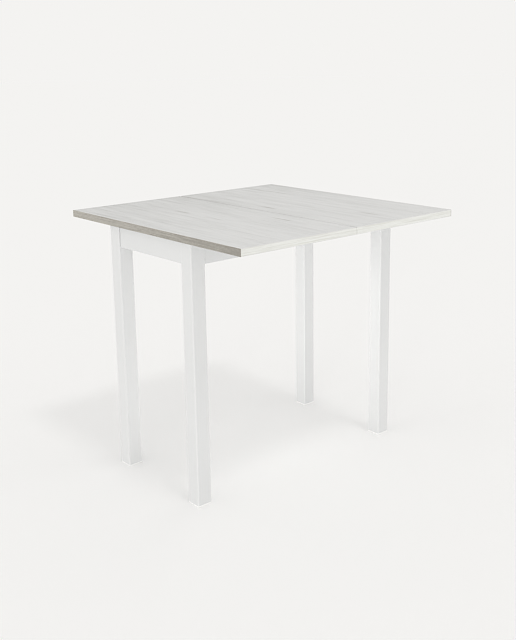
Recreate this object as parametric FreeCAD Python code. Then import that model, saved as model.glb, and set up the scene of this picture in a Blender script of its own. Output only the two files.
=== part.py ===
import FreeCAD, Part
import math
import os

# Swivel and fold dining table, open. Millimetres, +Z up, floor at zero.
# The origin is on the floor under the middle of the open top. The seam between the leaves runs along Y.

os.makedirs("parts", exist_ok=True)

V = FreeCAD.Vector
X_AXIS = V(1, 0, 0)
Y_AXIS = V(0, 1, 0)
Z_AXIS = V(0, 0, 1)

# Top
TABLE_HEIGHT = 760.0
TOP_SIZE = 800.0
LEAF_THICKNESS = 20.0
SEAM_GAP = 0.6
SEAM_ROUND = 5.0
BAND_THICKNESS = 2.0
BAND_ROUND = 1.2

# Frame of square legs, and aprons set back from their outer faces
FRAME_LENGTH = 772.0
FRAME_WIDTH = 392.0
FRAME_SHIFT = 15.0
LEG_SIDE = 45.0
LEG_WALL = 1.5
LEG_ROUND = 2.5
APRON_HEIGHT = 60.0
APRON_THICKNESS = 15.0
APRON_SETBACK = 5.0
APRON_WALL = 1.5
APRON_ROUND = 2.0

# Plastic caps in the leg ends
FOOT_CAP_HEIGHT = 4.0
FOOT_CAP_ROUND = 1.0
GLIDE_CAP_HEIGHT = 3.0
GLIDE_CAP_ROUND = 0.8
GLIDE_GAP = 0.3
FOOT_PLUG_LENGTH = 18.0
GLIDE_PLUG_LENGTH = 12.0
PLUG_WALL = 2.5
PLUG_FIT = 0.1

# Corner brackets and their M6 screws
BRACKET_THICKNESS = 3.0
BRACKET_WING = 34.0
BRACKET_HEIGHT = 46.0
BRACKET_INNER_BEND = 1.0
SCREW_STAGGER = 20.0
NUT_CLEARANCE = 1.0
M6_RADIUS = 3.0
M6_LENGTH = 12.0
M6_HEAD_RADIUS = 5.25
M6_HEAD_HEIGHT = 3.3
M6_HEAD_DOME = 2.2
M6_SOCKET_RADIUS = 2.3
M6_SOCKET_DEPTH = 2.0
RIVET_NUT_RADIUS = 4.5
RIVET_NUT_LENGTH = 11.0
RIVET_BULGE_RADIUS = 6.2
RIVET_BULGE_LENGTH = 2.5
HOLE_FIT = 0.05
SCREW_PLAY = 0.2

# Pivot rail
RAIL_WIDTH = 90.0
RAIL_DEPTH = 27.0
RAIL_WALL = 2.5
RAIL_ROUND = 3.0
RAIL_SCREW_SPREAD = 28.0

# Swivel
SWIVEL_PLATE_RADIUS = 55.0
SWIVEL_PLATE_THICKNESS = 3.0
SWIVEL_TRAVEL = 90.0
SWIVEL_SCREWS = 6
SWIVEL_SCREW_CIRCLE = 45.0
SWIVEL_SCREW_LENGTH = 16.0
RUNNING_GAP = 0.2
THRUST_WASHER_RADIUS = 25.0
THRUST_WASHER_THICKNESS = 3.0
PIVOT_RADIUS = 5.0
PIVOT_HEAD_RADIUS = 12.0
PIVOT_HEAD_HEIGHT = 3.5
PIVOT_END_LENGTH = 3.5
PIVOT_RUN_FIT = 0.05
BUSH_WALL = 3.0
BUSH_FLANGE_RADIUS = 13.0
BUSH_FLANGE_THICKNESS = 2.0
PIVOT_WASHER_RADIUS = 12.0
PIVOT_WASHER_THICKNESS = 2.0
SPRING_WASHER_RADIUS = 9.0
SPRING_WASHER_THICKNESS = 2.5
SPRING_WASHER_SPLIT = 1.5
LOCK_NUT_ACROSS_FLATS = 17.0
LOCK_NUT_HEIGHT = 8.0
LOCK_NUT_COLLAR_RADIUS = 7.2
LOCK_NUT_COLLAR_HEIGHT = 2.5
STOP_RADIUS = 4.0
STOP_TENON_RADIUS = 3.0
STOP_CIRCLE = 34.0
STOP_REACH = 4.0
STOP_CLEARANCE = 0.3
STOP_START_ANGLE = -135.0

# Countersunk wood screws
WOOD_SCREW_RADIUS = 2.0
WOOD_SCREW_HEAD_RADIUS = 3.9
WOOD_SCREW_TIP = 4.0
WOOD_SCREW_SINK = 0.1

# Concealed hinges in the seam
HINGE_SPACING = 280.0
HINGE_NAMES = ("front", "middle", "back")
HINGE_PIN_RADIUS = 1.2
HINGE_PIN_LENGTH = 36.0
HINGE_EYE_RADIUS = 2.0
HINGE_RUN_FIT = 0.05
HINGE_EDGE_CLEARANCE = 0.3
LINK_BAR = 3.0
LINK_THICKNESS = 4.0
LINK_SPREAD = 8.0
LINK_SIDE_PLAY = 0.2
KERF_CLEARANCE = 0.4
HOUSING_LENGTH = 60.0
HOUSING_DEPTH = 18.0
HOUSING_ROOF = 0.8
HOUSING_FLOOR = 1.5
HOUSING_FIT = 0.1
HINGE_SCREW_SPREAD = 21.0
HINGE_SCREW_LENGTH = 34.0

# Sizes that follow from the values above
CUT_MARGIN = 1.0
LEAF_OUTER = TOP_SIZE / 2
SEAM_EDGE = SEAM_GAP / 2
LEAF_LENGTH = TOP_SIZE
LEAF_WIDTH = LEAF_OUTER - SEAM_EDGE
LEAF_UNDERSIDE = TABLE_HEIGHT - LEAF_THICKNESS
LEG_TOP = LEAF_UNDERSIDE - GLIDE_GAP - GLIDE_CAP_HEIGHT
APRON_TOP = LEG_TOP
APRON_BOTTOM = APRON_TOP - APRON_HEIGHT
UPPER_SCREW_Z = LEG_TOP - GLIDE_PLUG_LENGTH - NUT_CLEARANCE - RIVET_BULGE_RADIUS
LOWER_SCREW_Z = UPPER_SCREW_Z - SCREW_STAGGER
BRACKET_MIDDLE = (UPPER_SCREW_Z + LOWER_SCREW_Z) / 2
APRON_INNER = APRON_SETBACK + APRON_THICKNESS
APRON_INNER_FRONT = FRAME_SHIFT - FRAME_WIDTH / 2 + APRON_INNER
APRON_INNER_BACK = FRAME_SHIFT + FRAME_WIDTH / 2 - APRON_INNER

# The pivot that carries the folded top from the middle of the frame to its open place in a quarter turn
LEAF_MIDDLE_X = -(SEAM_EDGE + LEAF_OUTER) / 2
PIVOT_X = (LEAF_MIDDLE_X - FRAME_SHIFT) / 2
PIVOT_Y = (FRAME_SHIFT - LEAF_MIDDLE_X) / 2

SWIVEL_PLATE_BOTTOM = LEAF_UNDERSIDE - SWIVEL_PLATE_THICKNESS
THRUST_WASHER_TOP = SWIVEL_PLATE_BOTTOM - RUNNING_GAP
RAIL_TOP = THRUST_WASHER_TOP - THRUST_WASHER_THICKNESS
RAIL_WEB_BOTTOM = RAIL_TOP - RAIL_WALL
BUSH_RADIUS = PIVOT_RADIUS + PIVOT_RUN_FIT + BUSH_WALL
BUSH_BOTTOM = RAIL_WEB_BOTTOM - BUSH_FLANGE_THICKNESS
PIVOT_WASHER_TOP = BUSH_BOTTOM - RUNNING_GAP
SPRING_WASHER_TOP = PIVOT_WASHER_TOP - PIVOT_WASHER_THICKNESS
LOCK_NUT_TOP = SPRING_WASHER_TOP - SPRING_WASHER_THICKNESS
LOCK_NUT_BOTTOM = LOCK_NUT_TOP - LOCK_NUT_HEIGHT - LOCK_NUT_COLLAR_HEIGHT
PIVOT_BOTTOM = LOCK_NUT_BOTTOM - PIVOT_END_LENGTH

HINGE_PIN_X = SEAM_EDGE + SEAM_ROUND
HINGE_PIN_Z = TABLE_HEIGHT - SEAM_ROUND
LINK_BAR_TOP = HINGE_PIN_Z - SEAM_ROUND - HINGE_EDGE_CLEARANCE
LINK_BOTTOM = LINK_BAR_TOP - LINK_BAR
LINK_SWEEP = math.hypot(HINGE_EYE_RADIUS, HINGE_PIN_Z - LINK_BOTTOM)
KERF_BOTTOM = HINGE_PIN_Z - LINK_SWEEP - KERF_CLEARANCE
KERF_BACK = HINGE_PIN_X + HINGE_EYE_RADIUS + KERF_CLEARANCE
HOUSING_TOP = HINGE_PIN_Z + HINGE_EYE_RADIUS + HOUSING_ROOF
HOUSING_BOTTOM = KERF_BOTTOM - HOUSING_FLOOR
HOUSING_MIDDLE = (HOUSING_TOP + HOUSING_BOTTOM) / 2


def box(x0, x1, y0, y1, z0, z1):
    return Part.makeBox(x1 - x0, y1 - y0, z1 - z0, V(x0, y0, z0))


def runs_along(edge, axis):
    span = edge.Vertexes[-1].Point.sub(edge.Vertexes[0].Point)
    return span.Length > 1e-6 and span.cross(axis).Length < 1e-6


def edges_along(shape, axis):
    return [edge for edge in shape.Edges if runs_along(edge, axis)]


def rounded_bar(low, high, axis, radius):
    bar = box(low.x, high.x, low.y, high.y, low.z, high.z)
    return bar.makeFillet(radius, edges_along(bar, axis))


def tube(low, high, axis, wall, radius):
    inset = V(wall, wall, wall) - axis * wall
    outer = rounded_bar(low, high, axis, radius)
    inner = rounded_bar(low + inset, high - inset, axis, radius - wall)
    return outer.cut(inner)


def rod(radius, start, direction, length):
    return Part.makeCylinder(radius, length, start, direction)


def ring(outer, inner, x, y, z, height):
    solid = rod(outer, V(x, y, z), Z_AXIS, height)
    return solid.cut(rod(inner, V(x, y, z - CUT_MARGIN), Z_AXIS, height + 2 * CUT_MARGIN))


def prism(corners, height):
    wire = Part.makePolygon(corners + corners[:1])
    return Part.Face(wire).extrude(V(0, 0, height))


def hexagon(radius, z, height):
    corners = [V(radius * math.cos(math.radians(60 * i)), radius * math.sin(math.radians(60 * i)), z)
               for i in range(6)]
    return prism(corners, height)


def aim(shape, point, direction):
    placed = shape.copy()
    placed.Placement = FreeCAD.Placement(point, FreeCAD.Rotation(Z_AXIS, direction))
    return placed


def flip_x(shape):
    return shape.mirror(V(0, 0, 0), X_AXIS)


def to_corner(shape, side_x, side_y):
    placed = shape.copy()
    if side_x > 0:
        placed = placed.mirror(V(0, 0, 0), X_AXIS)
    if side_y > 0:
        placed = placed.mirror(V(0, 0, 0), Y_AXIS)
    placed.translate(V(side_x * FRAME_LENGTH / 2, FRAME_SHIFT + side_y * FRAME_WIDTH / 2, 0))
    return placed


def button_screw(seat, inward):
    shank = rod(M6_RADIUS, V(0, 0, 0), Z_AXIS, M6_LENGTH)
    head = rod(M6_HEAD_RADIUS, V(0, 0, -M6_HEAD_HEIGHT), Z_AXIS, M6_HEAD_HEIGHT)
    rim = [edge for edge in head.Edges if abs(edge.BoundBox.ZMax + M6_HEAD_HEIGHT) < 1e-6]
    head = head.makeFillet(M6_HEAD_DOME, rim)
    socket = hexagon(M6_SOCKET_RADIUS, -M6_HEAD_HEIGHT - CUT_MARGIN, M6_SOCKET_DEPTH + CUT_MARGIN)
    return aim(head.fuse(shank).cut(socket).removeSplitter(), seat, inward)


def rivet_nut(face, inward, wall):
    body = rod(RIVET_NUT_RADIUS, V(0, 0, 0), Z_AXIS, RIVET_NUT_LENGTH)
    bulge = rod(RIVET_BULGE_RADIUS, V(0, 0, wall), Z_AXIS, RIVET_BULGE_LENGTH)
    bore = rod(M6_RADIUS + HOLE_FIT, V(0, 0, -CUT_MARGIN), Z_AXIS, RIVET_NUT_LENGTH + 2 * CUT_MARGIN)
    return aim(body.fuse(bulge).cut(bore).removeSplitter(), face, inward)


def rivet_hole(face, inward, wall):
    return rod(RIVET_NUT_RADIUS + HOLE_FIT, face - inward * CUT_MARGIN, inward, wall + 1.5 * CUT_MARGIN)


def wood_screw(seat, inward, length):
    sink = WOOD_SCREW_HEAD_RADIUS - WOOD_SCREW_RADIUS
    head = Part.makeCone(WOOD_SCREW_HEAD_RADIUS, WOOD_SCREW_RADIUS, sink, V(0, 0, WOOD_SCREW_SINK), Z_AXIS)
    shank_end = length - WOOD_SCREW_TIP
    shank = rod(WOOD_SCREW_RADIUS, V(0, 0, WOOD_SCREW_SINK + sink), Z_AXIS, shank_end - WOOD_SCREW_SINK - sink)
    tip = Part.makeCone(WOOD_SCREW_RADIUS, 0, WOOD_SCREW_TIP, V(0, 0, shank_end), Z_AXIS)
    return aim(head.fuse([shank, tip]).removeSplitter(), seat, inward)


def wood_screw_hole(seat, inward, length):
    radius = WOOD_SCREW_RADIUS + HOLE_FIT
    mouth_radius = WOOD_SCREW_HEAD_RADIUS + WOOD_SCREW_SINK + HOLE_FIT
    mouth = Part.makeCone(mouth_radius, radius, mouth_radius - radius)
    shaft = rod(radius, V(0, 0, 0), Z_AXIS, length + HOLE_FIT)
    return aim(mouth.fuse(shaft), seat, inward)


def export(shape, node):
    shape.exportStep("parts/" + node + ".step")


CORNERS = {
    "front_left": (-1, -1),
    "front_right": (1, -1),
    "back_left": (-1, 1),
    "back_right": (1, 1),
}

# One corner of the frame, drawn with its outer corner at the origin and the frame towards +X and +Y

LEG_SCREW_PLACE = (APRON_INNER + BRACKET_THICKNESS + LEG_SIDE) / 2
WING_SCREW_PLACE = LEG_SIDE + BRACKET_THICKNESS + BRACKET_WING / 2
corner_screw_faces = [
    (V(LEG_SIDE, LEG_SCREW_PLACE, UPPER_SCREW_Z), V(-1, 0, 0), LEG_WALL),
    (V(LEG_SCREW_PLACE, LEG_SIDE, LOWER_SCREW_Z), V(0, -1, 0), LEG_WALL),
    (V(WING_SCREW_PLACE, APRON_INNER, BRACKET_MIDDLE), V(0, -1, 0), APRON_WALL),
    (V(APRON_INNER, WING_SCREW_PLACE, BRACKET_MIDDLE), V(-1, 0, 0), APRON_WALL),
]

# Legs: square steel tube, with rivet nut holes in the two inner faces
leg = tube(V(0, 0, FOOT_CAP_HEIGHT), V(LEG_SIDE, LEG_SIDE, LEG_TOP), Z_AXIS, LEG_WALL, LEG_ROUND)
for face, inward, wall in corner_screw_faces[:2]:
    leg = leg.cut(rivet_hole(face, inward, wall))
for name, (side_x, side_y) in CORNERS.items():
    export(to_corner(leg, side_x, side_y), "leg_" + name)

# Corner brackets: one bent strip that follows both aprons and the two inner faces of the leg
near = APRON_INNER
far = APRON_INNER + BRACKET_THICKNESS
leg_far = LEG_SIDE + BRACKET_THICKNESS
wing_end = leg_far + BRACKET_WING
bracket_bottom = BRACKET_MIDDLE - BRACKET_HEIGHT / 2
bracket_outline = [
    (wing_end, near), (LEG_SIDE, near), (LEG_SIDE, LEG_SIDE), (near, LEG_SIDE), (near, wing_end),
    (far, wing_end), (far, leg_far), (leg_far, leg_far), (leg_far, far), (wing_end, far),
]
bracket = prism([V(x, y, bracket_bottom) for x, y in bracket_outline], BRACKET_HEIGHT)


def bends_at(shape, places):
    found = []
    for edge in edges_along(shape, Z_AXIS):
        point = edge.Vertexes[0].Point
        if any(math.hypot(point.x - x, point.y - y) < 1e-6 for x, y in places):
            found.append(edge)
    return found


outer_bends = [(LEG_SIDE, near), (near, LEG_SIDE), (leg_far, leg_far)]
inner_bends = [(leg_far, far), (far, leg_far), (LEG_SIDE, LEG_SIDE)]
bracket = bracket.makeFillet(BRACKET_INNER_BEND + BRACKET_THICKNESS, bends_at(bracket, outer_bends))
bracket = bracket.makeFillet(BRACKET_INNER_BEND, bends_at(bracket, inner_bends))
for face, inward, wall in corner_screw_faces:
    start = face - inward * (BRACKET_THICKNESS + CUT_MARGIN)
    bracket = bracket.cut(rod(M6_RADIUS + SCREW_PLAY, start, inward, BRACKET_THICKNESS + 2 * CUT_MARGIN))
for name, (side_x, side_y) in CORNERS.items():
    export(to_corner(bracket, side_x, side_y), "corner_bracket_" + name)

# Bracket screws and the rivet nuts that they turn into
bracket_screws = []
bracket_rivet_nuts = []
for side_x, side_y in CORNERS.values():
    for face, inward, wall in corner_screw_faces:
        screw = button_screw(face - inward * BRACKET_THICKNESS, inward)
        bracket_screws.append(to_corner(screw, side_x, side_y))
        bracket_rivet_nuts.append(to_corner(rivet_nut(face, inward, wall), side_x, side_y))
export(Part.makeCompound(bracket_screws), "bracket_screws")
export(Part.makeCompound(bracket_rivet_nuts), "bracket_rivet_nuts")

# Foot caps and glide caps: a square head as wide as the leg, with a hollow plug in the tube
plug_low = LEG_WALL + PLUG_FIT
plug_high = LEG_SIDE - plug_low
plug_round = LEG_ROUND - LEG_WALL


def leg_cap(head_bottom, head_top, plug_bottom, plug_top, round_z, head_round):
    head = rounded_bar(V(0, 0, head_bottom), V(LEG_SIDE, LEG_SIDE, head_top), Z_AXIS, LEG_ROUND)
    rim = [edge for edge in head.Edges
           if abs(edge.BoundBox.ZMin - round_z) < 1e-6 and abs(edge.BoundBox.ZMax - round_z) < 1e-6]
    head = head.makeFillet(head_round, rim)
    plug = tube(V(plug_low, plug_low, plug_bottom), V(plug_high, plug_high, plug_top), Z_AXIS,
                PLUG_WALL, plug_round + PLUG_WALL)
    return head.fuse(plug).removeSplitter()


foot_cap = leg_cap(0, FOOT_CAP_HEIGHT, FOOT_CAP_HEIGHT, FOOT_CAP_HEIGHT + FOOT_PLUG_LENGTH, 0, FOOT_CAP_ROUND)
glide_cap_top = LEG_TOP + GLIDE_CAP_HEIGHT
glide_cap = leg_cap(LEG_TOP, glide_cap_top, LEG_TOP - GLIDE_PLUG_LENGTH, LEG_TOP, glide_cap_top, GLIDE_CAP_ROUND)
for name, (side_x, side_y) in CORNERS.items():
    export(to_corner(foot_cap, side_x, side_y), "foot_cap_" + name)
    export(to_corner(glide_cap, side_x, side_y), "glide_cap_" + name)

# Long aprons along X, set back a little from the outer faces of the legs
RAIL_SCREW_Z = RAIL_WEB_BOTTOM - (RAIL_DEPTH - RAIL_WALL) / 2
rail_screw_faces = []
for offset in (-RAIL_SCREW_SPREAD, RAIL_SCREW_SPREAD):
    rail_screw_faces.append((V(PIVOT_X + offset, APRON_INNER_FRONT, RAIL_SCREW_Z), V(0, -1, 0)))
    rail_screw_faces.append((V(PIVOT_X + offset, APRON_INNER_BACK, RAIL_SCREW_Z), V(0, 1, 0)))

long_apron = tube(V(LEG_SIDE, APRON_SETBACK, APRON_BOTTOM), V(FRAME_LENGTH - LEG_SIDE, APRON_INNER, APRON_TOP),
                  X_AXIS, APRON_WALL, APRON_ROUND)
for place in (WING_SCREW_PLACE, FRAME_LENGTH - WING_SCREW_PLACE):
    long_apron = long_apron.cut(rivet_hole(V(place, APRON_INNER, BRACKET_MIDDLE), V(0, -1, 0), APRON_WALL))
apron_front = to_corner(long_apron, -1, -1)
apron_back = to_corner(long_apron, -1, 1)
for face, inward in rail_screw_faces:
    apron_front = apron_front.cut(rivet_hole(face, inward, APRON_WALL))
    apron_back = apron_back.cut(rivet_hole(face, inward, APRON_WALL))
export(apron_front, "apron_front")
export(apron_back, "apron_back")

# Short aprons along Y
short_apron = tube(V(APRON_SETBACK, LEG_SIDE, APRON_BOTTOM), V(APRON_INNER, FRAME_WIDTH - LEG_SIDE, APRON_TOP),
                   Y_AXIS, APRON_WALL, APRON_ROUND)
for place in (WING_SCREW_PLACE, FRAME_WIDTH - WING_SCREW_PLACE):
    short_apron = short_apron.cut(rivet_hole(V(APRON_INNER, place, BRACKET_MIDDLE), V(-1, 0, 0), APRON_WALL))
export(to_corner(short_apron, -1, -1), "apron_left")
export(to_corner(short_apron, 1, -1), "apron_right")

# Pivot rail: a pressed pan, open below, screwed to both long aprons
rail_low = V(PIVOT_X - RAIL_WIDTH / 2, APRON_INNER_FRONT, RAIL_TOP - RAIL_DEPTH)
rail_high = V(PIVOT_X + RAIL_WIDTH / 2, APRON_INNER_BACK, RAIL_TOP)
rail = box(rail_low.x, rail_high.x, rail_low.y, rail_high.y, rail_low.z, rail_high.z)
rail_long_edges = [edge for edge in edges_along(rail, Y_AXIS) if abs(edge.BoundBox.ZMax - RAIL_TOP) < 1e-6]
rail = rail.makeFillet(RAIL_ROUND, rail_long_edges + edges_along(rail, Z_AXIS))
rail_hollow = box(rail_low.x + RAIL_WALL, rail_high.x - RAIL_WALL, rail_low.y + RAIL_WALL,
                  rail_high.y - RAIL_WALL, rail_low.z - CUT_MARGIN, RAIL_WEB_BOTTOM)
rail = rail.cut(rail_hollow)
rail = rail.cut(rod(BUSH_RADIUS + HOLE_FIT, V(PIVOT_X, PIVOT_Y, rail_low.z), Z_AXIS, RAIL_DEPTH + CUT_MARGIN))

# Quarter-turn slot in the rail for the stop pin
slot_half = STOP_RADIUS + STOP_CLEARANCE
slot_bottom = RAIL_WEB_BOTTOM - CUT_MARGIN
slot_height = RAIL_WALL + 2 * CUT_MARGIN
slot_ring = ring(STOP_CIRCLE + slot_half, STOP_CIRCLE - slot_half, 0, 0, slot_bottom, slot_height)
sector_reach = 2 * STOP_CIRCLE
sector_end = STOP_START_ANGLE + SWIVEL_TRAVEL
sector_corners = [V(0, 0, slot_bottom)]
for angle in (STOP_START_ANGLE, (STOP_START_ANGLE + sector_end) / 2, sector_end):
    turn = math.radians(angle)
    sector_corners.append(V(sector_reach * math.cos(turn), sector_reach * math.sin(turn), slot_bottom))
slot = slot_ring.common(prism(sector_corners, slot_height))
for angle in (STOP_START_ANGLE, sector_end):
    turn = math.radians(angle)
    end_point = V(STOP_CIRCLE * math.cos(turn), STOP_CIRCLE * math.sin(turn), slot_bottom)
    slot = slot.fuse(rod(slot_half, end_point, Z_AXIS, slot_height))
slot.translate(V(PIVOT_X, PIVOT_Y, 0))
rail = rail.cut(slot)

# Rail screws and their rivet nuts in the long aprons
rail_screws = []
rail_rivet_nuts = []
for face, inward in rail_screw_faces:
    start = face - inward * (RAIL_WALL + CUT_MARGIN)
    rail = rail.cut(rod(M6_RADIUS + SCREW_PLAY, start, inward, RAIL_WALL + 2 * CUT_MARGIN))
    rail_screws.append(button_screw(face - inward * RAIL_WALL, inward))
    rail_rivet_nuts.append(rivet_nut(face, inward, APRON_WALL))
export(rail, "pivot_rail")
export(Part.makeCompound(rail_screws), "rail_screws")
export(Part.makeCompound(rail_rivet_nuts), "rail_rivet_nuts")

# Nylon bush in the rail and thrust washer on it
bush = ring(BUSH_RADIUS, PIVOT_RADIUS + PIVOT_RUN_FIT, PIVOT_X, PIVOT_Y, BUSH_BOTTOM,
            THRUST_WASHER_TOP - RUNNING_GAP - BUSH_BOTTOM)
bush_flange = ring(BUSH_FLANGE_RADIUS, PIVOT_RADIUS + PIVOT_RUN_FIT, PIVOT_X, PIVOT_Y, BUSH_BOTTOM,
                   BUSH_FLANGE_THICKNESS)
export(bush.fuse(bush_flange).removeSplitter(), "pivot_bush")
export(ring(THRUST_WASHER_RADIUS, BUSH_RADIUS + HOLE_FIT, PIVOT_X, PIVOT_Y, RAIL_TOP, THRUST_WASHER_THICKNESS),
       "thrust_washer")

# Outline of one leaf, drawn on the +X side: round seam edge on top, small rounds on the outer edges
leaf = box(SEAM_EDGE, LEAF_OUTER, -LEAF_LENGTH / 2, LEAF_LENGTH / 2, LEAF_UNDERSIDE, TABLE_HEIGHT)
seam_top = [edge for edge in edges_along(leaf, Y_AXIS)
            if edge.BoundBox.XMax < LEAF_OUTER / 2 and edge.BoundBox.ZMin > TABLE_HEIGHT - CUT_MARGIN]
leaf = leaf.makeFillet(SEAM_ROUND, seam_top)
outer_edges = [edge for edge in edges_along(leaf, Y_AXIS) if edge.BoundBox.XMin > LEAF_OUTER - CUT_MARGIN]
outer_uprights = [edge for edge in edges_along(leaf, Z_AXIS) if edge.BoundBox.XMin > LEAF_OUTER - CUT_MARGIN]
leaf = leaf.makeFillet(BAND_ROUND, outer_edges + outer_uprights + edges_along(leaf, X_AXIS))

band_x = LEAF_OUTER - BAND_THICKNESS
band_y = LEAF_LENGTH / 2 - BAND_THICKNESS
low_z = LEAF_UNDERSIDE - CUT_MARGIN
high_z = TABLE_HEIGHT + CUT_MARGIN
far_y = LEAF_LENGTH / 2 + CUT_MARGIN
leaf_board = leaf.common(box(0, band_x, -band_y, band_y, low_z, high_z))
leaf_side_band = leaf.common(box(band_x, LEAF_OUTER + CUT_MARGIN, -far_y, far_y, low_z, high_z))
front_band = leaf.common(box(0, band_x, -far_y, -band_y, low_z, high_z))
back_band = leaf.common(box(0, band_x, band_y, far_y, low_z, high_z))
leaf_end_bands = Part.makeCompound([front_band, back_band])


# One hinge on the +X side at the middle of the seam: housing, pin, screws and the room they need


def housing_outline(fit, depth):
    radius = (HOUSING_TOP - HOUSING_BOTTOM) / 2 + fit
    flat = HOUSING_LENGTH / 2 - (HOUSING_TOP - HOUSING_BOTTOM) / 2
    end = SEAM_EDGE + depth
    middle = box(0, end, -flat, flat, HOUSING_MIDDLE - radius, HOUSING_MIDDLE + radius)
    first_end = rod(radius, V(0, -flat, HOUSING_MIDDLE), X_AXIS, end)
    second_end = rod(radius, V(0, flat, HOUSING_MIDDLE), X_AXIS, end)
    return middle.fuse([first_end, second_end]).removeSplitter()


housing = housing_outline(0, HOUSING_DEPTH).common(leaf)
mortise = housing_outline(HOUSING_FIT, HOUSING_DEPTH + HOUSING_FIT)
kerf_half = LINK_THICKNESS / 2 + LINK_SIDE_PLAY
for place in (-LINK_SPREAD, LINK_SPREAD):
    housing = housing.cut(box(0, KERF_BACK, place - kerf_half, place + kerf_half, KERF_BOTTOM, high_z))
pin_start = V(HINGE_PIN_X, -HINGE_PIN_LENGTH / 2, HINGE_PIN_Z)
housing = housing.cut(rod(HINGE_PIN_RADIUS + HOLE_FIT / 2, pin_start, Y_AXIS, HOUSING_LENGTH))
hinge_pin = rod(HINGE_PIN_RADIUS, pin_start, Y_AXIS, HINGE_PIN_LENGTH)
hinge_screws = []
mortise_with_pilots = mortise
for place in (-HINGE_SCREW_SPREAD, HINGE_SCREW_SPREAD):
    seat = V(SEAM_EDGE, place, HOUSING_MIDDLE)
    hole = wood_screw_hole(seat, X_AXIS, HINGE_SCREW_LENGTH)
    housing = housing.cut(hole)
    mortise_with_pilots = mortise_with_pilots.fuse(hole)
    hinge_screws.append(wood_screw(seat, X_AXIS, HINGE_SCREW_LENGTH))

# U-shaped hinge links: they hang below the pins when the top is flat and pass round both edges when it is folded
link = box(-HINGE_PIN_X - HINGE_EYE_RADIUS, HINGE_PIN_X + HINGE_EYE_RADIUS,
           -LINK_THICKNESS / 2, LINK_THICKNESS / 2, LINK_BOTTOM, LINK_BAR_TOP)
link = link.makeFillet(LINK_BAR - HINGE_EDGE_CLEARANCE,
                       [edge for edge in edges_along(link, Y_AXIS) if edge.BoundBox.ZMax < LINK_BOTTOM + 0.1])
for side in (-1, 1):
    arm_x = side * HINGE_PIN_X
    arm = box(arm_x - HINGE_EYE_RADIUS, arm_x + HINGE_EYE_RADIUS, -LINK_THICKNESS / 2, LINK_THICKNESS / 2,
              LINK_BAR_TOP, HINGE_PIN_Z)
    eye = rod(HINGE_EYE_RADIUS, V(arm_x, -LINK_THICKNESS / 2, HINGE_PIN_Z), Y_AXIS, LINK_THICKNESS)
    link = link.fuse([arm, eye])
for side in (-1, 1):
    bore_start = V(side * HINGE_PIN_X, -LINK_THICKNESS, HINGE_PIN_Z)
    link = link.cut(rod(HINGE_PIN_RADIUS + HINGE_RUN_FIT, bore_start, Y_AXIS, 2 * LINK_THICKNESS))
link = link.removeSplitter()

# Three hinges along the seam, each with a housing in either leaf and two links
flip_pins = []
flip_screws = []
for index, name in enumerate(HINGE_NAMES):
    along = V(0, (index - 1) * HINGE_SPACING, 0)
    export(housing.translated(along), "hinge_housing_flip_" + name)
    export(flip_x(housing).translated(along), "hinge_housing_fixed_" + name)
    pair = [link.translated(along + V(0, place, 0)) for place in (-LINK_SPREAD, LINK_SPREAD)]
    export(Part.makeCompound(pair), "hinge_links_" + name)
    flip_pins.append(hinge_pin.translated(along))
    flip_screws.extend(screw.translated(along) for screw in hinge_screws)
    leaf_board = leaf_board.cut(mortise_with_pilots.translated(along))
export(Part.makeCompound(flip_pins), "hinge_pins_flip")
export(Part.makeCompound([flip_x(pin) for pin in flip_pins]), "hinge_pins_fixed")
export(Part.makeCompound(flip_screws), "hinge_screws_flip")
export(Part.makeCompound([flip_x(screw) for screw in flip_screws]), "hinge_screws_fixed")

# Folding leaf
export(leaf_board, "flip_leaf_board")
export(leaf_side_band, "flip_leaf_side_band")
export(leaf_end_bands, "flip_leaf_end_bands")

# Swivel plate under the fixed leaf, with its screws and the stop pin riveted into it
swivel_plate = rod(SWIVEL_PLATE_RADIUS, V(PIVOT_X, PIVOT_Y, SWIVEL_PLATE_BOTTOM), Z_AXIS, SWIVEL_PLATE_THICKNESS)
through = SWIVEL_PLATE_THICKNESS + 2 * CUT_MARGIN
below_plate = SWIVEL_PLATE_BOTTOM - CUT_MARGIN
swivel_plate = swivel_plate.cut(rod(PIVOT_RADIUS + HOLE_FIT, V(PIVOT_X, PIVOT_Y, below_plate), Z_AXIS, through))
stop_turn = math.radians(STOP_START_ANGLE)
stop_x = PIVOT_X + STOP_CIRCLE * math.cos(stop_turn)
stop_y = PIVOT_Y + STOP_CIRCLE * math.sin(stop_turn)
swivel_plate = swivel_plate.cut(rod(STOP_TENON_RADIUS + HOLE_FIT, V(stop_x, stop_y, below_plate), Z_AXIS, through))
fixed_board = flip_x(leaf_board)
swivel_screws = []
for index in range(SWIVEL_SCREWS):
    turn = 2 * math.pi * (index + 0.5) / SWIVEL_SCREWS
    seat = V(PIVOT_X + SWIVEL_SCREW_CIRCLE * math.cos(turn), PIVOT_Y + SWIVEL_SCREW_CIRCLE * math.sin(turn),
             SWIVEL_PLATE_BOTTOM)
    hole = wood_screw_hole(seat, Z_AXIS, SWIVEL_SCREW_LENGTH)
    swivel_plate = swivel_plate.cut(hole)
    fixed_board = fixed_board.cut(hole)
    swivel_screws.append(wood_screw(seat, Z_AXIS, SWIVEL_SCREW_LENGTH))
export(swivel_plate, "swivel_plate")
export(Part.makeCompound(swivel_screws), "swivel_plate_screws")

stop_bottom = RAIL_WEB_BOTTOM - STOP_REACH
stop_shank = rod(STOP_RADIUS, V(stop_x, stop_y, stop_bottom), Z_AXIS, SWIVEL_PLATE_BOTTOM - stop_bottom)
stop_tenon = rod(STOP_TENON_RADIUS, V(stop_x, stop_y, SWIVEL_PLATE_BOTTOM), Z_AXIS, SWIVEL_PLATE_THICKNESS)
export(stop_shank.fuse(stop_tenon).removeSplitter(), "stop_pin")

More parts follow.
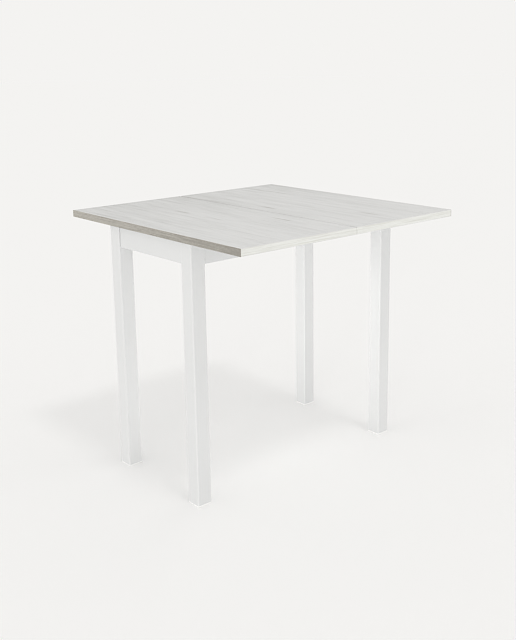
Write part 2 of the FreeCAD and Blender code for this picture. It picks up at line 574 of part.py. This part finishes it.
# Fixed leaf, with a recess for the head of the pivot bolt
head_room = rod(PIVOT_HEAD_RADIUS + RUNNING_GAP, V(PIVOT_X, PIVOT_Y, LEAF_UNDERSIDE - CUT_MARGIN), Z_AXIS,
                PIVOT_HEAD_HEIGHT + RUNNING_GAP + CUT_MARGIN)
export(fixed_board.cut(head_room), "fixed_leaf_board")
export(flip_x(leaf_side_band), "fixed_leaf_side_band")
export(flip_x(leaf_end_bands), "fixed_leaf_end_bands")

# Pivot bolt, held between the swivel plate and the leaf, with washer, spring washer and lock nut under the rail
pivot_bolt = rod(PIVOT_RADIUS, V(PIVOT_X, PIVOT_Y, PIVOT_BOTTOM), Z_AXIS, LEAF_UNDERSIDE - PIVOT_BOTTOM)
pivot_head = rod(PIVOT_HEAD_RADIUS, V(PIVOT_X, PIVOT_Y, LEAF_UNDERSIDE), Z_AXIS, PIVOT_HEAD_HEIGHT)
export(pivot_bolt.fuse(pivot_head).removeSplitter(), "pivot_bolt")
export(ring(PIVOT_WASHER_RADIUS, PIVOT_RADIUS + HOLE_FIT, PIVOT_X, PIVOT_Y,
            PIVOT_WASHER_TOP - PIVOT_WASHER_THICKNESS, PIVOT_WASHER_THICKNESS), "pivot_washer")
spring_washer = ring(SPRING_WASHER_RADIUS, PIVOT_RADIUS + HOLE_FIT, PIVOT_X, PIVOT_Y,
                     LOCK_NUT_TOP, SPRING_WASHER_THICKNESS)
split = box(PIVOT_X, PIVOT_X + 2 * SPRING_WASHER_RADIUS, PIVOT_Y - SPRING_WASHER_SPLIT / 2,
            PIVOT_Y + SPRING_WASHER_SPLIT / 2, LOCK_NUT_TOP - CUT_MARGIN, SPRING_WASHER_TOP + CUT_MARGIN)
export(spring_washer.cut(split), "pivot_spring_washer")
nut_body = hexagon(LOCK_NUT_ACROSS_FLATS / math.sqrt(3), LOCK_NUT_TOP - LOCK_NUT_HEIGHT, LOCK_NUT_HEIGHT)
nut_collar = rod(LOCK_NUT_COLLAR_RADIUS, V(0, 0, LOCK_NUT_BOTTOM), Z_AXIS, LOCK_NUT_COLLAR_HEIGHT)
nut_bore = rod(PIVOT_RADIUS + HOLE_FIT, V(0, 0, LOCK_NUT_BOTTOM - CUT_MARGIN), Z_AXIS,
               LOCK_NUT_HEIGHT + LOCK_NUT_COLLAR_HEIGHT + 2 * CUT_MARGIN)
lock_nut = nut_body.fuse(nut_collar).cut(nut_bore).removeSplitter()
export(lock_nut.translated(V(PIVOT_X, PIVOT_Y, 0)), "pivot_lock_nut")
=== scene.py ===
import math

import bpy
from mathutils import Euler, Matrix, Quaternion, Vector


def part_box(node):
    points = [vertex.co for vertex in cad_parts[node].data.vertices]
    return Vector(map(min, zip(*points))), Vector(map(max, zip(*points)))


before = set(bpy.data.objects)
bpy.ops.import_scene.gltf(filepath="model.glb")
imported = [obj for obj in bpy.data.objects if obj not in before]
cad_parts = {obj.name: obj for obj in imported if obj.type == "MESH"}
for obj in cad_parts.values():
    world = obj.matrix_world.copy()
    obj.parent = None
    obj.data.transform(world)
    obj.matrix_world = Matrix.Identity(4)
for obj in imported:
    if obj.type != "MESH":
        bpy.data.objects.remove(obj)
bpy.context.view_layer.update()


# Legs: four square steel tubes, 45 mm wide with softly rounded edges, sawn square at both ends.
# They are powder coated satin white after the screw holes are punched, so the coat has the
# faint orange peel of melted powder and drifts a little in tone along each tube.


class Shade:
    """A shader socket that takes part in sums and can make the next node from itself."""

    def __init__(self, tree, socket):
        self.tree = tree
        self.socket = socket

    def node(self, kind, settings, inputs, output=0):
        made = self.tree.nodes.new(kind)
        for name, value in settings.items():
            if name == "stops":
                stops = made.color_ramp.elements
                ready = len(stops)
                for number, (position, colour) in enumerate(value):
                    stop = stops[number] if number < ready else stops.new(position)
                    stop.position = position
                    stop.color = (*colour, 1.0)
            else:
                setattr(made, name, value)
        for name, value in inputs.items():
            if isinstance(value, Shade):
                self.tree.links.new(value.socket, made.inputs[name])
            else:
                made.inputs[name].default_value = value
        return Shade(self.tree, made.outputs[output] if made.outputs else None)

    def sum_up(self, operation, first, second):
        return self.node("ShaderNodeMath", {"operation": operation}, {0: first, 1: second})

    def __add__(self, other):
        return self.sum_up("ADD", self, other)

    def __sub__(self, other):
        return self.sum_up("SUBTRACT", self, other)

    def __rsub__(self, other):
        return self.sum_up("SUBTRACT", other, self)

    def __mul__(self, other):
        return self.sum_up("MULTIPLY", self, other)

    def __abs__(self):
        return self.sum_up("ABSOLUTE", self, 0.0)

    __radd__ = __add__
    __rmul__ = __mul__


def start_finish(name):
    finish = bpy.data.materials.new(name)
    finish.use_nodes = True
    finish.node_tree.nodes.clear()
    place = Shade(finish.node_tree, None).node("ShaderNodeTexCoord", {}, {}, "Object")
    return finish, place


def coordinate(place, axis):
    return place.node("ShaderNodeSeparateXYZ", {}, {0: place}, axis)


def mottle(place, size, detail=2.0, roughness=0.5):
    values = {"Vector": place, "Scale": 1.0 / size, "Detail": detail, "Roughness": roughness}
    return place.node("ShaderNodeTexNoise", {}, values)


def step_up(value, low, high):
    values = {"Value": value, "From Min": low, "From Max": high}
    return value.node("ShaderNodeMapRange", {"interpolation_type": "SMOOTHSTEP"}, values)


def blend(factor, first, second):
    """Mixes two colours: a Mix node takes them in inputs 6 and 7 and gives the result in output 2."""
    first, second = (c if isinstance(c, Shade) else (*c, 1.0) for c in (first, second))
    return factor.node("ShaderNodeMix", {"data_type": "RGBA"}, {0: factor, 6: first, 7: second}, 2)


def relief(height, strength, depth):
    return height.node("ShaderNodeBump", {}, {"Height": height, "Strength": strength, "Distance": depth})


def give(finish, names):
    for name in names:
        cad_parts[name].material_slots[0].material = finish


def lay_on(finish, place, sockets, names):
    surface = place.node("ShaderNodeBsdfPrincipled", {}, sockets)
    place.node("ShaderNodeOutputMaterial", {}, {"Surface": surface})
    give(finish, names)


corners = ("front_left", "front_right", "back_left", "back_right")

powder_coat, place = start_finish("white_powder_coat")
drift = mottle(place, size=0.22, detail=3.0)
peel = mottle(place, size=0.0024, roughness=0.45)

# A painted highlight: the coat is painted whiter on the rounded edges of each leg, where they catch the
# light.
# How far a point lies from the middle of its leg, across and along the frame, tells where an edge is.
edge_width = 0.0041
edge_fade = 0.0020
near_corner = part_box("leg_front_left")[0]
inner_corner, far_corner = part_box("leg_back_right")
leg_half = (far_corner.x - inner_corner.x) / 2
middle = (near_corner + far_corner) / 2
leg_across = abs(coordinate(place, "X") - middle.x) - (far_corner.x - middle.x - leg_half)
leg_along = abs(coordinate(place, "Y") - middle.y) - (far_corner.y - middle.y - leg_half)
edge_start = leg_half - edge_width
edge_full = edge_start + edge_fade
painted_edge_highlight = step_up(abs(leg_across), edge_start, edge_full) * step_up(abs(leg_along), edge_start, edge_full)
flat_coat = blend(drift, (0.730, 0.737, 0.741), (0.772, 0.778, 0.780))
lay_on(powder_coat, place, {
    "Base Color": blend(painted_edge_highlight, flat_coat, (0.790, 0.796, 0.799)),
    "Roughness": 0.34 + 0.16 * drift,
    "IOR": 1.48,
    "Specular IOR Level": 0.22,
    "Normal": relief(peel, strength=0.10, depth=0.0002),
}, [f"leg_{corner}" for corner in corners])


# Aprons: four flat steel tubes, 60 by 15 mm, butted between the legs and set back 5 mm from their
# outer faces. They carry the same white coat as the legs and hang level under the leaves.

give(powder_coat, [f"apron_{side}" for side in ("front", "back", "left", "right")])


# Foot caps: white polyethylene plugs, moulded with a thin square flange that carries the leg.
# The flange is whiter than the coat, has a fine spark-eroded grain, and greys at the floor.

foot_plastic, place = start_finish("white_foot_plastic")
grain = mottle(place, size=0.0009)
off_floor = step_up(coordinate(place, "Z"), low=0.0002, high=0.0008)
scuff = (1.0 - off_floor) * mottle(place, size=0.004, detail=3.0)
lay_on(foot_plastic, place, {
    "Base Color": blend(scuff, (0.95, 0.95, 0.945), (0.70, 0.69, 0.67)),
    "Roughness": 0.46 + 0.14 * grain,
    "IOR": 1.51,
    "Normal": relief(grain, strength=0.12, depth=0.0001),
}, [f"foot_cap_{corner}" for corner in corners])


# Corner brackets: 3 mm sheet steel, folded to lie in each corner of the frame, zinc plated.
# The plating shows pale crystals of a few millimetres and fine rolling lines from the sheet.


def cells(place, per_metre, distance):
    """A value of its own for each small cell of the surface."""
    values = {"Vector": place, "Scale": per_metre}
    cell = place.node("ShaderNodeTexVoronoi", {"distance": distance}, values, "Color")
    return cell.node("ShaderNodeSeparateColor", {}, {0: cell}, "Red")


def stretch(place, x, y, z):
    return place.node("ShaderNodeVectorMath", {"operation": "MULTIPLY"}, {0: place, 1: (x, y, z)})


def streaks(place, x, y, z, detail=2.0, roughness=0.5):
    """Mottle with its own number of waves in a metre along each axis."""
    return mottle(stretch(place, x, y, z), 1.0, detail, roughness)


plated_sheet, place = start_finish("zinc_plated_sheet")
spangle = cells(place, per_metre=160.0, distance="MANHATTAN")
rolled = streaks(place, 60.0, 60.0, 900.0)
tarnish = mottle(place, size=0.03, detail=4.0)
lay_on(plated_sheet, place, {
    "Base Color": blend(0.55 * spangle + 0.45 * tarnish, (0.56, 0.57, 0.58), (0.72, 0.725, 0.73)),
    "Metallic": 1.0,
    "Roughness": 0.30 + 0.12 * spangle + 0.12 * rolled,
    "Normal": relief(rolled, strength=0.06, depth=0.0001),
}, [f"corner_bracket_{corner}" for corner in corners])


# Screws and rivet nuts of the frame: bright zinc plated steel, M6 button heads with a hexagon socket.
# The plating is very finely frosted, and its passivation shifts from blue to straw.

bright_zinc, place = start_finish("bright_zinc_fasteners")
tint = mottle(place, size=0.006)
frost = mottle(place, size=0.0006)
lay_on(bright_zinc, place, {
    "Base Color": blend(tint, (0.60, 0.625, 0.66), (0.74, 0.72, 0.66)),
    "Metallic": 1.0,
    "Roughness": 0.20 + 0.16 * frost,
    "Normal": relief(frost, strength=0.05, depth=0.00005),
}, ["bracket_screws", "bracket_rivet_nuts", "rail_screws", "rail_rivet_nuts"])


# Glide caps: natural nylon plugs in the upper ends of the legs, on which the leaves slide as the top
# swivels. Nylon is milky and slightly waxy, and the leaves rub fine lines into it.

nylon, place = start_finish("natural_nylon")
cloudy = mottle(place, size=0.012, detail=3.0)
rubbed = streaks(place, 500.0, 60.0, 500.0)
lay_on(nylon, place, {
    "Base Color": blend(cloudy, (0.78, 0.77, 0.72), (0.86, 0.855, 0.82)),
    "Roughness": 0.32 + 0.22 * rubbed,
    "IOR": 1.53,
    "Subsurface Weight": 0.12,
    "Subsurface Radius": (0.003, 0.0025, 0.002),
    "Normal": relief(rubbed, strength=0.05, depth=0.0001),
}, [f"glide_cap_{corner}" for corner in corners])


# Pivot rail: a folded steel pan screwed across the frame under one leaf, zinc plated like the brackets.
# It carries the nylon bush and the thrust washer of the swivel.

give(plated_sheet, ["pivot_rail"])
give(nylon, ["pivot_bush", "thrust_washer"])


# Swivel: a round steel plate screwed under the fixed leaf, a pivot bolt through the bush with its
# washers and lock nut, and a stop pin that ends the quarter turn. All are zinc plated.

give(plated_sheet, ["swivel_plate"])
give(bright_zinc, ["swivel_plate_screws", "stop_pin", "pivot_bolt"])
give(bright_zinc, ["pivot_washer", "pivot_spring_washer", "pivot_lock_nut"])


# Leaf boards: two 20 mm chipboards faced on both sides with a white washed oak decor, grain along
# the seam. The decor wraps round the rolled seam edges. Where a board is cut for the hinges and the
# pivot, the bare chips show.

washed_oak, place = start_finish("washed_oak_decor")
axes = {axis: coordinate(place, axis) for axis in "XYZ"}
wander_reach = 0.030
wander = wander_reach * (streaks(place, 3.2, 1.2, 25.0) - 0.5)
drawn = place.node("ShaderNodeCombineXYZ", {}, {0: axes["X"] + wander, 1: axes["Y"], 2: axes["Z"]})
board_tone = streaks(drawn, 8.0, 0.8, 40.0)
streak = streaks(drawn, 68.0, 5.0, 40.0, detail=4.0, roughness=0.64)
fibre = streaks(drawn, 420.0, 8.0, 40.0, detail=3.0)
pore = step_up(streaks(drawn, 1000.0, 26.0, 40.0, detail=1.0), low=0.60, high=0.70)
# The figure also carries painted shade: the decor is painted darker towards the back of the top.
figure_and_shade = 0.12 + 0.36 * streak + 0.20 * board_tone + 0.20 * fibre - 0.14 * axes["Y"]
tone = place.node("ShaderNodeValToRGB", {"stops": [
    (0.30, (0.473, 0.470, 0.460)),
    (0.42, (0.616, 0.619, 0.614)),
    (0.54, (0.689, 0.692, 0.690)),
    (0.72, (0.741, 0.744, 0.742)),
]}, {"Fac": figure_and_shade})
pore_depth = 0.30 * pore * step_up(fibre, low=0.40, high=0.62)
decor = blend(pore_depth, tone, (0.36, 0.35, 0.33))

# Small closed knots and the dark flecks that trail from them along the grain: where each lies across
# and along the top, its half width, its half length and how dark it is.
ragged_reach = 0.008
ragged = streaks(drawn, 260.0, 22.0, 40.0, detail=4.0, roughness=0.65)
for across, along, half_width, half_length, weight in (
    (-0.190, 0.131, 0.0042, 0.038, 0.55),
    (-0.189, -0.027, 0.0036, 0.046, 0.42),
    (0.048, 0.017, 0.0042, 0.048, 0.72),
    (-0.060, -0.173, 0.0042, 0.052, 0.68),
    (0.181, -0.278, 0.0046, 0.048, 0.60),
    (0.272, 0.270, 0.0034, 0.140, 0.60),
):
    side = (axes["X"] + wander + ragged_reach * (ragged - 0.5) - across) * (1.0 / half_width)
    end = (axes["Y"] - along) * (1.0 / half_length)
    inside = 1.0 - step_up(side * side + end * end, low=0.0, high=1.4)
    fleck = weight * inside * step_up(ragged, low=0.34, high=0.62)
    decor = blend(fleck, decor, (0.34, 0.325, 0.295))

# Dust and painted shade grey the bottom of the seam, where the two rolled edges meet.
seam_dust_and_shade = 1.0 - step_up(abs(axes["X"]), low=0.0010, high=0.0044)
decor = blend(0.25 * seam_dust_and_shade, decor, (0.30, 0.29, 0.27))

# Between the two faces of a board, and away from its rolled edge, a cut goes through the decor's skin.
decor_skin = 0.0004
rolled_edge = 0.0056
board_low, board_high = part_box("fixed_leaf_board")
over_skin = step_up(axes["Z"], board_low.z + decor_skin, board_low.z + 2 * decor_skin)
under_skin = 1.0 - step_up(axes["Z"], board_high.z - 2 * decor_skin, board_high.z - decor_skin)
cut = over_skin * under_skin * step_up(abs(axes["X"]), rolled_edge, rolled_edge + decor_skin)
chip_tone = cells(stretch(place, 1.0, 1.0, 2.2), per_metre=340.0, distance="EUCLIDEAN")
chipboard = blend(chip_tone, (0.26, 0.185, 0.115), (0.56, 0.455, 0.320))
grain_height = 0.6 * fibre + 0.4 * streak - 0.8 * pore
lay_on(washed_oak, place, {
    "Base Color": blend(cut, decor, chipboard),
    "Roughness": 0.58 + 0.16 * fibre + 0.1 * cut,
    "IOR": 1.45,
    "Specular IOR Level": 0.15,
    "Normal": relief(grain_height, strength=0.16, depth=0.0003),
}, ["fixed_leaf_board", "flip_leaf_board"])


# Side bands: 2 mm edge band glued to the long outer edges, printed as a darker grey oak.
# The print is streaky along the edge and mottled like end grain.

grey_band, place = start_finish("grey_oak_side_band")
run = streaks(place, 200.0, 7.0, 420.0, detail=4.0, roughness=0.62)
patch = streaks(place, 60.0, 46.0, 150.0, detail=3.0, roughness=0.6)
speck = streaks(place, 700.0, 160.0, 700.0)
# Painted light: the band is painted paler towards the back end, as the light falls along it.
painted_light_paling = 0.16 * coordinate(place, "Y")
grey = step_up(0.58 * run + 0.20 * patch + 0.22 * speck + painted_light_paling, low=0.33, high=0.65)
lay_on(grey_band, place, {
    "Base Color": blend(grey, (0.274, 0.258, 0.230), (0.466, 0.447, 0.404)),
    "Roughness": 0.42 + 0.2 * run,
    "IOR": 1.47,
    "Normal": relief(run, strength=0.15, depth=0.0002),
}, ["fixed_leaf_side_band", "flip_leaf_side_band"])


# End bands: 2 mm edge band on the two ends of each leaf, printed nearly white with thin grey lines
# along it. The side bands run over their ends, and the print greys on the upper and lower arris.

pale_band, place = start_finish("pale_oak_end_band")
line = streaks(place, 5.0, 200.0, 300.0, detail=4.0, roughness=0.6)
thread = streaks(place, 24.0, 500.0, 900.0)
lines = step_up(0.7 * line + 0.3 * thread, low=0.30, high=0.62)
printed = blend(lines, (0.65, 0.65, 0.606), (0.814, 0.824, 0.800))
arris_start = 0.0016
arris_full = 0.0006
half_board = (board_high.z - board_low.z) / 2
off_middle = abs(coordinate(place, "Z") - (board_low.z + half_board))
arris = step_up(off_middle, half_board - arris_start, half_board - arris_full)
lay_on(pale_band, place, {
    "Base Color": blend(arris, printed, (0.70, 0.702, 0.690)),
    "Roughness": 0.42 + 0.18 * line,
    "IOR": 1.47,
    "Normal": relief(line, strength=0.12, depth=0.0002),
}, ["fixed_leaf_end_bands", "flip_leaf_end_bands"])


# Hinges: three concealed hinges in the seam, each two die cast housings let into the board edges
# and a pair of links on steel pins. The castings are nickel plated over a slightly pebbled skin.

nickel, place = start_finish("nickel_plated_casting")
pebble = mottle(place, size=0.0012, detail=3.0)
bloom = mottle(place, size=0.009, detail=3.0)
castings = ("hinge_housing_fixed", "hinge_housing_flip", "hinge_links")
lay_on(nickel, place, {
    "Base Color": blend(bloom, (0.55, 0.545, 0.53), (0.68, 0.67, 0.65)),
    "Metallic": 1.0,
    "Roughness": 0.26 + 0.18 * bloom,
    "Normal": relief(pebble, strength=0.12, depth=0.0001),
}, [f"{casting}_{spot}" for casting in castings for spot in ("front", "middle", "back")])
give(bright_zinc, ["hinge_pins_fixed", "hinge_pins_flip", "hinge_screws_fixed", "hinge_screws_flip"])


# Studio floor: a wide sheet of pale matt paper that fades into an equally pale surround.
# Seen from underneath it is clear, so the underside of the table can be looked at.

floor_radius = 60.0
stage_radius = 4.0
rim_points = 96
paper_thickness = 0.0002
paper_tint = (0.9047, 0.8963, 0.8796)
bpy.ops.object.select_all(action="DESELECT")
bpy.ops.mesh.primitive_circle_add(vertices=rim_points, radius=floor_radius, fill_type="NGON")
floor = bpy.context.object
floor.name = "studio_floor"
bpy.ops.object.mode_set(mode="EDIT")
bpy.ops.mesh.select_all(action="SELECT")
bpy.ops.mesh.inset(thickness=floor_radius - stage_radius, depth=0.0)
bpy.ops.mesh.select_all(action="SELECT")
bpy.ops.transform.translate(value=(0.0, 0.0, paper_thickness))
bpy.ops.object.mode_set(mode="OBJECT")
paper, place = start_finish("studio_paper")
tooth = mottle(place, size=0.6)
sheet = blend(tooth, (0.902, 0.902, 0.902), (0.906, 0.906, 0.906))
matt = place.node("ShaderNodeBsdfDiffuse", {}, {"Color": sheet})
clear = place.node("ShaderNodeBsdfTransparent", {}, {})
behind = place.node("ShaderNodeNewGeometry", {}, {}, "Backfacing")
seen = place.node("ShaderNodeMixShader", {}, {0: behind, 1: matt, 2: clear})
place.node("ShaderNodeOutputMaterial", {}, {"Surface": seen})
floor.data.materials.append(paper)


# Light: an even pale surround, a soft high key from the front, and two low lights that lift the
# upright faces. A lamp under the top and two reflector cards on the floor brighten what the top
# would keep dark, and leave no highlights.

surround = bpy.data.worlds.new("pale_surround")
bpy.context.scene.world = surround
surround.use_nodes = True
surround.node_tree.nodes["Background"].inputs["Color"].default_value = (*paper_tint, 1.0)
surround.node_tree.nodes["Background"].inputs["Strength"].default_value = 1.0


def add_lamp(kind, name, energy, spot, turn):
    bpy.ops.object.light_add(type=kind, location=spot, rotation=turn)
    lamp = bpy.context.object
    lamp.name = f"studio_{name}"
    lamp.data.energy = energy
    lamp.data.color = tuple(channel / max(paper_tint) for channel in paper_tint)
    lamp.visible_camera = False
    lamp.visible_glossy = kind == "SUN"
    return lamp.data


# Each sun: its name, its strength, how wide it looks, and the compass bearing and height it shines from.
sun_spot = (0.0, 0.0, 4.0)
for name, energy, spread, bearing, height in (
    ("key", 0.28, 10.0, 179.0, 64.0),
    ("fill", 0.18, 14.0, 284.0, 8.0),
    ("front", 0.32, 7.0, 237.0, 4.0),
):
    turn = (math.radians(90.0 - height), 0.0, math.radians(180.0 - bearing))
    add_lamp("SUN", name, energy, sun_spot, turn).angle = math.radians(spread)

under_lamp = add_lamp("POINT", "under", energy=1.05, spot=(0.0, -0.06, 0.50), turn=(0.0, 0.0, 0.0))
under_lamp.shadow_soft_size = 0.2

# Each card lies face up: its name, how strong it is, its length, its width and where its middle lies.
face_up = (math.pi, 0.0, 0.0)
for name, energy, length, width, spot in (
    ("inner_card", 0.5, 0.24, 0.12, (-0.06, 0.03, 0.01)),
    ("front_card", 1.1, 1.20, 0.40, (0.0, -1.15, 0.01)),
):
    card = add_lamp("AREA", name, energy, spot, face_up)
    card.shape = "RECTANGLE"
    card.size = length
    card.size_y = width

bpy.context.scene.view_settings.view_transform = "Standard"


# Camera: it stands higher than the top and looks at the corner between the front and the left side,
# with a lens and a small downward shift that frame the table as the photograph does.

eye = (-1.7110, -2.0109, 1.1964)
yaw = 40.2913
pitch = 12.3328
roll = -0.8516
bpy.ops.object.camera_add(location=eye)
camera = bpy.context.object
camera.data.lens = 50.438
camera.data.sensor_width = 36.0
camera.data.shift_y = -0.10
aim = Euler((math.radians(90.0 - pitch), 0.0, math.radians(-yaw))).to_quaternion()
camera.rotation_mode = "QUATERNION"
camera.rotation_quaternion = aim @ Quaternion((0.0, 0.0, 1.0), math.radians(roll))
bpy.context.scene.camera = camera

# The picture is sharpened a little, so that the pale legs keep a crisp outline against the surround.
bpy.context.scene.use_nodes = True
darkroom = bpy.context.scene.node_tree
darkroom.nodes.clear()
taken = Shade(darkroom, None).node("CompositorNodeRLayers", {}, {}, "Image")
crisp = taken.node("CompositorNodeFilter", {"filter_type": "SHARPEN"}, {"Fac": 0.06, "Image": taken})
crisp.node("CompositorNodeComposite", {}, {"Image": crisp})
